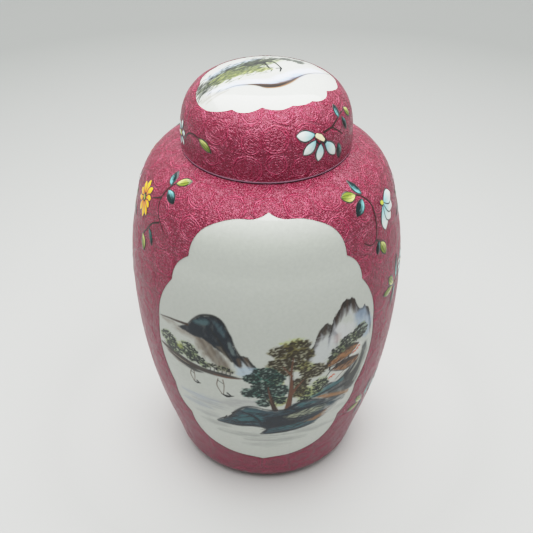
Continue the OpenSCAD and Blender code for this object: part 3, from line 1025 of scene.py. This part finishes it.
def paint_crown(art):
    """A willow bank, a small house, and a shore with pale water, seen from above."""
    blue, lilac = (146, 170, 204), (194, 202, 224)
    art.wash([(-29, 0), (-22, 9), (-12, 17), (-3, 20), (-8, 13), (-16, 6), (-24, -1)], blue, 0.55, 2.5,
             (3, 2))
    art.wash([(-26, -13), (-18, -9), (-8, -6), (2, -4), (12, 4), (22, 9), (27, 7), (20, 3), (15, -2),
              (9, -8), (2, -11), (-8, -10), (-17, -12.4)], lilac, 0.85, 3, (7, 2))
    art.wash([(-7, -9.6), (0, -9), (7, -5), (13, 1), (19, 4), (15, -1.6), (9, -7.6), (1, -11)], blue, 0.8,
             2, (6, 1.6))
    art.wash([(-24, -15), (-18, -10.4), (-12, -8.6), (-8, -10.4), (-16, -12.4)], blue, 0.4, 2)
    art.wash([(-31, -10), (-25, -5), (-18, 1), (-10, 6), (0, 10), (8, 17), (4, 20), (-5, 17.4), (-11, 13.6),
              (-18, 7), (-25, -1)], (124, 136, 88), 0.75, 2.5, (2, 3))
    art.wash([(-24, -8), (-17, -3), (-9, 2), (-3, 4.6), (4, 5.6), (-2, 7.4), (-11, 4), (-19, -2)],
             (196, 204, 128), 0.75, 1.8, (2, 2))
    dark_leaves = (26, 32, 28), (38, 46, 36), (56, 64, 46), (16, 20, 18)
    bank = [(-29.8, -9.1), (-24.5, -3.9), (-20, 1), (-14.9, 5.9), (-9.9, 11.2), (-4.9, 14.3), (1, 18.2)]
    grass(art, bank, 900, 2.9, dark_leaves)
    grass(art, [(-22, -4), (-15, 1), (-8, 5), (0, 7.6)], 380, 2.2,
          ((54, 62, 44), (120, 128, 74), (84, 92, 60)))
    grass(art, [(1, 18.2), (8, 20.8), (13, 18.7), (17, 16)], 190, 1.0, dark_leaves)
    art.stroke([(13, 18.7), (18, 16.4), (23.3, 16.3)], (1.4, 0.8, 0.3), (66, 74, 66), opacity=0.7, soft=0.7)
    art.strokes([[(-5.4, 13), (-2.3, 14.7), (1.2, 15.3), (3.7, 14.4), (6.7, 8)], [(-1.3, 14.7), (1.2, 7.6)],
                 [(4.7, 7.1), (6.9, 7.4)], [(6.9, 7.2), (6.4, 3.4)]], (1.1, 1.1, 0.8), INK, opacity=1.0,
                 soft=0.3)
    art.wash([(-8, -10.2), (-3, -9.4), (2, -10), (8, -6.6), (13, -1.6), (9.9, -8), (5.9, -11.7), (0, -13)],
             (112, 88, 72), 0.9, 1.4, (5, 1))
    art.stroke([(-18.2, -13), (-13.4, -10.9), (-7.1, -10.6), (-3.3, -11.1), (0.5, -12.2), (5.5, -11.2),
                (9.9, -8.2), (14.9, -2), (19.1, 2.2), (24.8, 6), (29.6, 9.3)],
               (0.3, 0.7, 1.2, 2.6, 4.4, 4.0, 2.8, 1.6, 0.8, 0.5, 0.3), UMBER, opacity=0.95, soft=1.3)
    art.stroke([(-4, -11.6), (0, -12.4), (5, -11.8), (9, -8.8)], (0.4, 1.6, 1.4, 0.3), INK, opacity=0.8,
               soft=0.8)
    art.stroke([(-2, -13.2), (2.5, -13.8), (6.5, -12.4), (11, -8.4), (15, -3)], (0.3, 0.7, 0.8, 0.7, 0.3),
               OCHRE, opacity=0.6, soft=0.6)
    art.strokes([[(-28.8, -17.3), (-24, -15.6), (-18.2, -13)], [(-27, -19), (-22, -16.6), (-17, -14)]],
                (0.5, 1.1, 0.5), SEPIA, opacity=0.55, soft=1.2)
    for k in range(6):
        x = -29.6 + 0.8 * k
        art.stroke([(x, -17 + 0.3 * k), (x + 0.5, -12.6 + 0.4 * k)], (0.4, 0.3), SEPIA, opacity=0.5)


def paint_back(art):
    """A lake under two blue hills: a pavilion on a spit, pines at the left, and a boat at the right."""
    art.massif([(-58, 118), (-50, 126), (-43, 134), (-38, 138), (-33, 137), (-27, 130), (-20, 122)], 17,
               (62, 60, 66), (196, 199, 210), 0.9, 2.0, -0.3)
    art.massif([(-30, 124), (-22, 132), (-14, 142), (-8, 146), (-3, 143), (3, 136), (9, 127), (15, 119)], 22,
               (44, 52, 66), (188, 196, 208), 0.95, 2.0, 0.3)
    art.strokes([[(-12, 143), (-11, 134), (-12, 127)], [(-6, 145), (-4, 136), (-5, 128)],
                 [(1, 138), (3, 130), (4, 124)]],
                (1.4, 1.8, 0.3), BLUE_BLACK, opacity=0.6, soft=1.4)
    art.wash([(-14, 141), (-9, 144), (-6, 140), (-10, 134)], TEAL, 0.6, 2, (2, 4))
    art.massif([(16, 112), (26, 118), (35, 122), (44, 121), (52, 116), (58, 110)], 9, (96, 110, 124),
               (200, 206, 214), 0.8, 1.4, 0.2)
    paint_water(art, ((0, 96, 26, MIST), (24, 88, 20, (160, 170, 190)), (-24, 84, 16, (166, 176, 190)),
                      (10, 76, 24, (170, 176, 186)), (-12, 50, 22, (160, 162, 164)), (20, 46, 16, MIST)),
                      0.5, 2.4)
    art.stroke([(8, 104), (20, 103), (32, 102.4), (44, 103), (57, 105)], (0.3, 2.2, 2.6, 2.4, 0.8), UMBER,
               soft=0.9)
    for k in range(8):
        u = 14 + 5 * k
        art.foliage(u, 107.4 + 1.2 * math.sin(1.7 * k), 3.2, 2.6, (136, 148, 104), (20, 28, 24), 24, 1.4)
    paint_boat(art, 30, 86, 1.3, 12)
    paint_boat(art, 17, 93, 0.8, 8)
    # spit with the pavilion
    art.wash([(-58, 88), (-46, 92), (-34, 92), (-20, 88), (-8, 83), (-16, 80), (-30, 78), (-46, 76),
              (-56, 78)], (46, 74, 84), 0.95, 1.4, (5, 1.8), 0.2)
    for points in ([(-52, 86), (-42, 90), (-34, 88), (-44, 84)],
                   [(-30, 86), (-20, 86), (-14, 83), (-26, 82)]):
        art.wash(points, TEAL, 0.9, 1.6, (3, 1.5))
    art.wash([(-40, 82), (-30, 83.4), (-20, 81), (-30, 79.4)], OCHRE, 0.75, 1.6, (5, 1.2))
    art.wash([(-33, 91), (-33, 98), (-21, 98), (-21, 91)], GLAZE, 0.95, 0.4)
    for u in (-33, -29, -25, -21):
        art.stroke([(u, 90.6), (u, 98.4)], (0.9, 0.9), RUSSET, soft=0.3)
    roof = [(-37, 98.4), (-33, 100.4), (-29.4, 104.6), (-27, 107), (-24.6, 104.6), (-21, 100.4),
            (-17, 98.4), (-27, 97.4)]
    art.wash(roof, OCHRE, 0.95, 0.4, (2, 0.7), 0.3)
    art.scatter(roof, 40, 2.0, 0.25, UMBER, tilt=1.2)
    art.strokes([[(-37.6, 99), (-32, 98.4), (-27, 97.6), (-22, 98.4), (-16.4, 99)],
                 [(-37, 98.8), (-31, 102), (-27, 107.6)], [(-17, 98.8), (-23, 102), (-27, 107.6)]],
                (0.7, 1.0, 0.7), INK, soft=0.4)
    paint_tree(art, [(-45, 87), (-44, 96), (-45, 105), (-43, 115)], 2.2,
               ((-44, 120, 7, 4, 126), (-50, 113, 6, 3.8, 99), (-38.6, 113, 5.4, 3.6, 84),
                (-51, 104, 4.6, 3.4, 66),
                (-38, 106, 4.6, 3, 60)), OLIVE, BROWN_INK)
    paint_tree(art, [(-12, 84), (-13, 90), (-12, 97)], 1.6,
               ((-12, 100, 6, 4, 99), (-16.6, 94, 4.4, 3.2, 60), (-7.4, 94.6, 4.6, 3.4, 66)),
               (74, 124, 112), TEAL_INK)
    # rocks in front
    art.wash([(14, 62), (22, 66), (32, 70), (42, 69), (50, 64), (46, 58), (34, 55), (22, 56)], (42, 74, 88),
             0.95, 1.4, (5, 1.8), 0.2)
    art.wash([(24, 63), (31, 67), (38, 66), (32, 61)], TEAL, 0.9, 1.6, (3, 1.5))
    art.wash([(34, 58), (42, 61), (47, 62), (42, 57.6)], OCHRE, 0.7, 1.4, (5, 1.2))
    art.strokes([[(14, 62), (22, 66.4), (32, 70.4), (42, 69.4), (50, 64)],
                 [(14, 61.4), (24, 56), (36, 55), (46, 58)],
                 [(26, 67), (30, 62), (36, 59)], [(38, 69), (40, 64), (44, 61)],
                 [(-58, 88.6), (-46, 92.6), (-34, 92.4), (-20, 88.4), (-8, 83)],
                 [(-8, 82.6), (-30, 77.6), (-52, 76)]],
                (0.7, 1.8, 0.5), BLUE_BLACK, opacity=0.92, soft=0.8)
    art.scatter([(-54, 86), (-34, 90), (-12, 83), (-34, 79)], 60, 3.4, 0.3, BLUE_BLACK, opacity=0.6)
    art.scatter([(18, 62), (32, 69), (46, 64), (34, 57)], 40, 3.2, 0.3, BLUE_BLACK, opacity=0.6)
    paint_bushes(art, ((20, 69, 4, 2.6, 34), (48, 68, 4.4, 3, 40), (34, 73, 5, 3, 44)), (140, 156, 92),
                 (20, 30, 22), 1.5)


# ---------------------------------------------------------------- flower sprays
LEAF_TEAL = ((128, 196, 198), (6, 34, 36))
LEAF_DARK = ((70, 126, 122), (4, 20, 22))
LEAF_LIME = ((204, 208, 130), (112, 126, 44))
PETAL_ICE = ((204, 214, 210), (88, 172, 182))
PETAL_GOLD = ((246, 190, 24), (222, 86, 8))
PETAL_PINK = ((232, 198, 210), (206, 92, 134))
STEM = (44, 20, 18)


def paint_spray(art, stems, leaves):
    """Stems as lists of (u, v) points, and leaves as (base, tip, width, colours). The sheet starts
    ruby, like the ground that shows at its soft edges."""
    art.colour[:] = linear((96, 20, 44))
    art.strokes(stems, (1.0, 0.8, 0.5), STEM, soft=0.25, relief=0.08, halo=0.05)
    for base, tip, width, colours in leaves:
        art.leaf(base, tip, width, colours)


def paint_flower(art, u, v, petals, colours, heart, wide=3.6):
    """Petals as (angle in degrees anticlockwise from the right, length), round a small heart."""
    for angle, length in petals:
        a = math.radians(angle)
        near = (u + 1.3 * math.cos(a), v + 1.3 * math.sin(a))
        far = (u + length * math.cos(a), v + length * math.sin(a))
        art.leaf(near, far, wide, colours, 0, 1.25, petal=True)
    art.stroke([(u - 0.5, v + 0.3), (u + 0.5, v - 0.3)], (2.6, 2.6), INK, soft=0.2, relief=0.3, halo=0.1)
    art.stroke([(u - 0.4, v + 0.3), (u + 0.4, v - 0.2)], (1.9, 1.9), heart, soft=0.2, relief=0.34, halo=0.1)


def spray_right(art):
    paint_spray(art, [[(-5.4, 7.6), (-2.5, 6.1), (1, 0.9), (1.7, -4.7), (1, -12.7), (-0.7, -18),
                       (-4.4, -18.6), (-8.4, -15.6)], [(-0.7, -18), (1.4, -19), (3, -20.6)]],
                [((-5.4, 7.4), (-14.8, 9.4), 5.6, LEAF_LIME), ((-1.8, 6.4), (-4.6, 15.4), 4.2, LEAF_TEAL),
                 ((-2.6, 4.4), (-9.8, -1.6), 5.2, LEAF_TEAL), ((1.8, -19.4), (-0.4, -26), 3.4, LEAF_DARK),
                 ((3, -20.4), (6.4, -29), 5.0, LEAF_LIME)])
    paint_flower(art, 9.4, -3.4, ((-92, 14), (-62, 13), (-34, 12.4), (-4, 12)), PETAL_ICE,
                 (190, 194, 70), 7.4)


def spray_left(art):
    paint_spray(art, [[(2.2, 11.4), (0, 7.8), (-1.2, 2.8), (-0.8, -2.4), (1.9, -7.2), (7.1, -12.8)],
                      [(2.3, -9.4), (-2.5, -12.4), (-6.3, -17.4), (-9.6, -21.6)],
                      [(-1.2, 2), (-4, 0.4), (-7.7, -1.6)]],
                [((2.2, 11.4), (10.6, 16.2), 4.8, LEAF_LIME), ((-0.1, 9), (-4.2, 16.2), 4.6, LEAF_TEAL),
                 ((0.6, 7), (8.2, 3), 4.8, LEAF_TEAL), ((-4.2, -15.6), (-0.8, -23.4), 3.2, LEAF_DARK),
                 ((-9.8, -21.6), (-6.8, -30), 4.2, LEAF_LIME)])
    paint_flower(art, -15, -5.2, ((98, 9), (60, 8.6), (22, 7), (-15, 7), (-48, 9), (-76, 10), (-106, 9),
                                  (-150, 7), (170, 7), (132, 8)), PETAL_GOLD, (150, 158, 60), 4.0)


def spray_side(art):
    paint_spray(art, [[(1.4, -1), (4.7, -2), (9, 0), (12, 4), (15, 6)], [(4.7, -2), (2.6, -6)]],
                [((2.6, -0.6), (-4.4, 7), 5.2, LEAF_LIME), ((1.4, -1.6), (-9.6, -1), 4.8, LEAF_LIME),
                 ((5, -2), (1, -13.6), 4.4, LEAF_TEAL), ((6.4, -0.4), (7.6, 14), 4.6, LEAF_TEAL)])
    paint_flower(art, 17.4, 4, ((95, 7), (40, 7), (-20, 7.4), (-70, 9), (-115, 9), (-165, 7), (150, 7)),
                 PETAL_ICE, (224, 220, 130), 4.2)


def spray_pink(art):
    paint_spray(art, [[(-7, -1), (-2, 0.6), (2.4, 0), (7, 3.4)], [(-2, 0.6), (-3, 4)],
                      [(2.4, 0), (6, -9), (3, -15)]],
                [((7, 3.4), (13, 6.6), 3.6, LEAF_TEAL), ((2.4, 0), (-2.6, -6), 3.8, LEAF_LIME),
                 ((-3, 4), (-8, 8.4), 3.6, LEAF_LIME), ((-7, -1), (-14, -2.6), 3.4, LEAF_DARK),
                 ((3, -15), (-2, -20), 3.2, LEAF_TEAL), ((5.6, -8), (11.4, -12), 3.6, LEAF_LIME)])
    paint_flower(art, 2.6, 10, ((90, 7.4), (30, 7), (-20, 6.6), (150, 7), (200, 6.6), (270, 5)), PETAL_PINK,
                 (236, 208, 90), 3.8)


def spray_lid(art):
    paint_spray(art, [[(1.7, 2), (6.7, 2.4), (10, 0.2), (13.6, -3)],
                      [(6.7, 2.4), (12.1, 4.4), (16, 5.4), (21, 5.8)]],
                [((13.6, 4.6), (15.4, 11), 3.6, LEAF_TEAL), ((16.7, 4), (18.2, -2.6), 3.2, LEAF_DARK),
                 ((21.4, 6.6), (25.2, 0.8), 4.0, LEAF_LIME), ((10, -6.2), (11, -14.2), 3.8, LEAF_DARK)])
    for base, tip, width in (((-3, 2), (-13, 3.2), 5.4), ((-3, -0.2), (-10.2, -5.8), 5.0),
                             ((-1, -2), (-2.6, -10.6), 4.8), ((1, -1.6), (7.6, -10.6), 5.2)):
        art.leaf(base, tip, width, PETAL_ICE, 0, 1.2, petal=True)
    heart = [(-3.6, 2.6), (-0.6, 1.6), (2, -1.6), (1, -2.9), (-0.4, -1.6), (-1.8, -2.4), (-3.2, -0.6)]
    art.strokes([heart + heart[:1]], (0.8, 0.8), INK, soft=0.25, relief=0.2, halo=0.1)
    art.strokes([[(-2.6, 1.6), (-1, 0.4), (0.6, -1.2)]], (2.0, 2.6, 1.4), (226, 216, 176), soft=0.25,
                relief=0.25, halo=0.0)


def spray_lid_left(art):
    paint_spray(art, [[(-10, -3.4), (-7, 0.6), (-2, 2.4), (3.4, 1.8)]],
                [((2.6, 2.2), (10.8, -2), 4.2, LEAF_LIME)])
    paint_flower(art, -16, -3, ((80, 7), (20, 6.4), (-40, 6.6), (-100, 7), (-160, 6.4), (140, 6.6)),
                 PETAL_ICE, (216, 216, 110), 3.4)


# Each spray: its name, its design, its body, the u and v it is placed at, and -1 if it is mirrored
SPRAYS = [
    ("spray_right", spray_right, "jar", 63.8, 180.5, 1),
    ("spray_left", spray_left, "jar", -66.5, 181, 1),
    ("spray_back_right", spray_right, "jar", 151, 180, -1),
    ("spray_back_left", spray_left, "jar", -150, 181, -1),
    ("spray_side_right", spray_side, "jar", 77, 129, 1),
    ("spray_side_left", spray_side, "jar", -104, 126, -1),
    ("spray_low_right", spray_side, "jar", 63, 55, 1),
    ("spray_low_left", spray_side, "jar", -126, 62, 1),
    ("spray_low_back", spray_side, "jar", 140, 58, -1),
    ("spray_top_right", spray_pink, "jar", 109, 162, 1),
    ("spray_top_left", spray_pink, "jar", -109, 163, -1),
    ("lid_spray_right", spray_lid, "lid", 27.6, 18.6, 1),
    ("lid_spray_left", spray_lid_left, "lid", -37.5, 13.6, 1),
    ("lid_spray_back_right", spray_lid_left, "lid", 88, 17, -1),
    ("lid_spray_back", spray_lid, "lid", -118, 17, 1)]


def make_spray(name, design, body, u, v, mirror):
    """One spray as a raised sheet, cut along its painted shapes, at a place on its wall."""
    wall = body_wall if body == "jar" else lid_wall
    k = wall.round_r / float(wall.radius(v))
    # The grid holds the largest design, and stays 3 mm clear of the wall's lower edge
    art = Painting(np.arange(-26, 26, SPRAY_STEP), np.arange(max(-31, 3 - v), 18, SPRAY_STEP),
                   lambda x, y, h: wall.place(u + x * k, v + y, h), mirror=mirror)
    design(art)
    painted_sheet(name, body, art, art.cover, SPRAY_T)


# ---------------------------------------------------------------- the pieces
white = porcelain_look()
ruby = ruby_look()
painted = paint_look()
rim_shade_highlight_material = rim_shade_highlight_look()

flat_r = FOOT_R - FOOT_BEVEL
recess_r = flat_r - FOOT_FLAT_W
jar_loop = np.vstack([
    [(0, RECESS_H), (15, RECESS_H), (recess_r - 3, RECESS_H)],
    arc(recess_r - 2.8, RECESS_H - ROUNDING, ROUNDING, 90, 20, 5),
    [(recess_r, 0.3), (recess_r + 0.3, 0), (flat_r, 0)],
    body_wall.line(0, body_wall.length, 1.5),
    arc(NECK_R + FILLET, LEDGE_H + FILLET, FILLET, 270, 180, 5),
    arc(NECK_R - ROUNDING, NECK_TOP - ROUNDING, ROUNDING, 0, 90, 6),
    arc(MOUTH_R + ROUNDING, NECK_TOP - ROUNDING, ROUNDING, 90, 180, 6),
    inner_wall.line(inner_wall.length, 0, 2.5),
    [(15, FLOOR_H), (0, FLOOR_H)]])
jar_piece = revolve("jar_porcelain", "jar", jar_loop, white)
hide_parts("jar")

lid_loop = np.vstack([
    ceiling.line(ceiling.length, 1, 2.0),
    arc(LID_R - LID_WALL + LID_EDGE_IN, LEDGE_H + LID_EDGE_IN, LID_EDGE_IN, 180, 270, 5),
    arc(LID_R - LID_EDGE_OUT, LEDGE_H + LID_EDGE_OUT, LID_EDGE_OUT, -90, 0, 7),
    lid_wall.line(2, lid_wall.length, 1.2)])
lid_loop[[0, -1], 0] = 0
lid_piece = revolve("lid_porcelain", "lid", lid_loop, white)
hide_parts("lid")

panel = panel_outline()
crown = crown_outline()


def outside_front(u, v, points):
    return signed_distance(u, v, panel)


def outside_back(u, v, points):
    return signed_distance((u % body_wall.round) - body_wall.round / 2, v, panel)


def outside_crown(u, v, points):
    return signed_distance(points[..., 0], points[..., 1], crown)


ground("body_ruby_ground", "jar", body_wall, v_low=0.8, v_high=body_wall.length - 0.15,
       step=0.55, pitch=15, holes=[outside_front, outside_back], parts=4, seed=5)
ground("lid_ruby_ground", "lid", lid_wall, v_low=1.5, v_high=48, step=0.5, pitch=14.5,
       holes=[outside_crown], parts=1, seed=6)


def round_band(name, body, wall, v, height, material):
    """A thin band all the way round a wall, at a height off it."""
    u = np.linspace(0, wall.round, SEGMENTS + 1)[:-1]
    points, normals = wall.place(*np.meshgrid(u, v), height)
    row, around = np.meshgrid(np.arange(len(v) - 1), np.arange(SEGMENTS), indexing="ij")
    a, b = (row * SEGMENTS + around).ravel(), (row * SEGMENTS + (around + 1) % SEGMENTS).ravel()
    faces = np.stack([a, b, b + SEGMENTS, a + SEGMENTS], -1)
    new_piece(name, body, points.reshape(-1, 3), faces, material, normals.reshape(-1, 3))


# the lid's rim: a painted shadow in the joint and a painted highlight above it
round_band("lid_rim_painted_shadow_highlight", "lid", lid_wall, v=np.linspace(0.1, 2.0, 9), height=0.1,
           material=rim_shade_highlight_material)


def painted_panel(name, middle_u, paint, seed):
    """A painted landscape under the ruby ground's border, on a grid round the whole panel that is finest
    where it is painted. Its white is darker towards the top: painted shade against the light from above."""
    v = np.concatenate([np.arange(25, 44, BLANK_STEP), np.arange(44, 148, PANEL_STEP),
                        np.arange(148, 193, BLANK_STEP)])
    art = Painting(np.arange(-64, 64, PANEL_STEP), v, lambda u, v, h: body_wall.place(u + middle_u, v, h),
                   lambda u, v: (u * body_wall.radius(v) / BODY_R, v), seed=seed)
    # painted shade: the white is darkened towards the top of the panel
    art.colour *= np.interp(art.v, (40, 150), (1.06, 0.8))[..., None]
    paint(art)
    painted_sheet(name, "jar", art, UNDERLAP - signed_distance(art.u, art.v, panel))


def place_on_crown(x, y, h):
    """Wall.place for the lid's top, from the distances to the right and to the back."""
    v = np.interp(np.hypot(x, y), lid_wall.points[::-1, 0], lid_wall.along[::-1])
    return lid_wall.place(np.arctan2(x, -y) * LID_R, v, h)


painted_panel("front_landscape", 0, paint_front, seed=11)
painted_panel("back_landscape", math.pi * BODY_R, paint_back, seed=12)
across = np.arange(-36, 36, CROWN_STEP)
crown_art = Painting(across, across, place_on_crown, seed=13)
crown_art.colour *= 0.84      # painted shade: the crown's white is darker all over, against the light from above
paint_crown(crown_art)
painted_sheet("crown_landscape", "lid", crown_art,
              UNDERLAP - signed_distance(crown_art.x, crown_art.y, crown))
for spray in SPRAYS:
    make_spray(*spray)


# ---------------------------------------------------------------- floor, lights and camera
def stage_floor():
    """A plain pale floor with painted light and shade: lighter close round the jar against its shadow,
    darker further out, then lighter again far away.
    """
    mesh = bpy.data.meshes.new("floor")
    half = FLOOR_HALF * MM
    corners = [(-half, -half, 0), (half, -half, 0), (half, half, 0), (-half, half, 0)]
    mesh.from_pydata(corners, [], [(0, 1, 2, 3)])
    floor = bpy.data.objects.new("floor", mesh)
    bpy.context.scene.collection.objects.link(floor)
    look = Look("floor_paper", Roughness=0.55, IOR=1.35)
    away = look.num(look.node("VectorMath", {0: look.position()}, operation="LENGTH").outputs["Value"])
    # painted light and shade by distance from the jar's axis: lighter round the foot, darkest at about 0.7
    # m, lighter again far off
    tone = (away * 0.5 + look.noise(0.002) * 0.04).clamp()
    look.wire(Base_Color=look.ramp(tone, (0.02, (198, 198, 196)), (0.043, (186, 187, 185)),
                                   (0.083, (161, 162, 160)), (0.34, (142, 144, 142)), (0.5, (160, 162, 160)),
                                   (1.0, (236, 237, 235))))
    mesh.materials.append(look.material)


stage_floor()

softbox = bpy.data.lights.new("overhead_softbox", "AREA")
softbox.shape = "RECTANGLE"
softbox.size, softbox.size_y = (side * MM for side in SOFTBOX_SIZE)
softbox.energy = SOFTBOX_WATTS
lamp = bpy.data.objects.new("overhead_softbox", softbox)
lamp.location = (0, 0, SOFTBOX_H * MM)
bpy.context.scene.collection.objects.link(lamp)

# A pale room, about half as bright behind the camera as in front of it
world = bpy.data.worlds.new("room")
world.use_nodes = True
sky = world.node_tree
sky.nodes["Background"].inputs["Color"].default_value = (1, 1, 1, 1)
compass = sky.nodes.new("ShaderNodeSeparateXYZ")
sky.links.new(sky.nodes.new("ShaderNodeTexCoord").outputs["Generated"], compass.inputs[0])
dimmer = sky.nodes.new("ShaderNodeMapRange")
sky.links.new(compass.outputs["Y"], dimmer.inputs["Value"])
for socket, value in (("From Min", -0.7), ("From Max", 0.5), ("To Min", 0.4), ("To Max", 0.85)):
    dimmer.inputs[socket].default_value = value
sky.links.new(dimmer.outputs["Result"], sky.nodes["Background"].inputs["Strength"])
bpy.context.scene.world = world

camera_data = bpy.data.cameras.new("camera")
camera_data.lens = CAMERA_LENS
camera_data.sensor_width = CAMERA_SENSOR
camera = bpy.data.objects.new("camera", camera_data)
camera.location = (0, -CAMERA_BACK * TOP_H * MM, CAMERA_UP * TOP_H * MM)
camera.rotation_euler = (math.radians(CAMERA_TILT), 0, 0)
bpy.context.scene.collection.objects.link(camera)
bpy.context.scene.camera = camera

# A camera's own tone curve: straight up to the middle tones, then a soft shoulder for the whites
view = bpy.context.scene.view_settings
view.view_transform = "Standard"
view.use_curve_mapping = True
tones = view.curve_mapping
tones.white_level = (2, 2, 2)
curve = tones.curves[3]
curve.points[1].location = (1, 0.93)
for scene_tone, shown in ((0.25, 0.25), (0.5, 0.49), (0.7, 0.65), (1.0, 0.79), (1.4, 0.87)):
    curve.points.new(scene_tone / 2, shown)
tones.update()
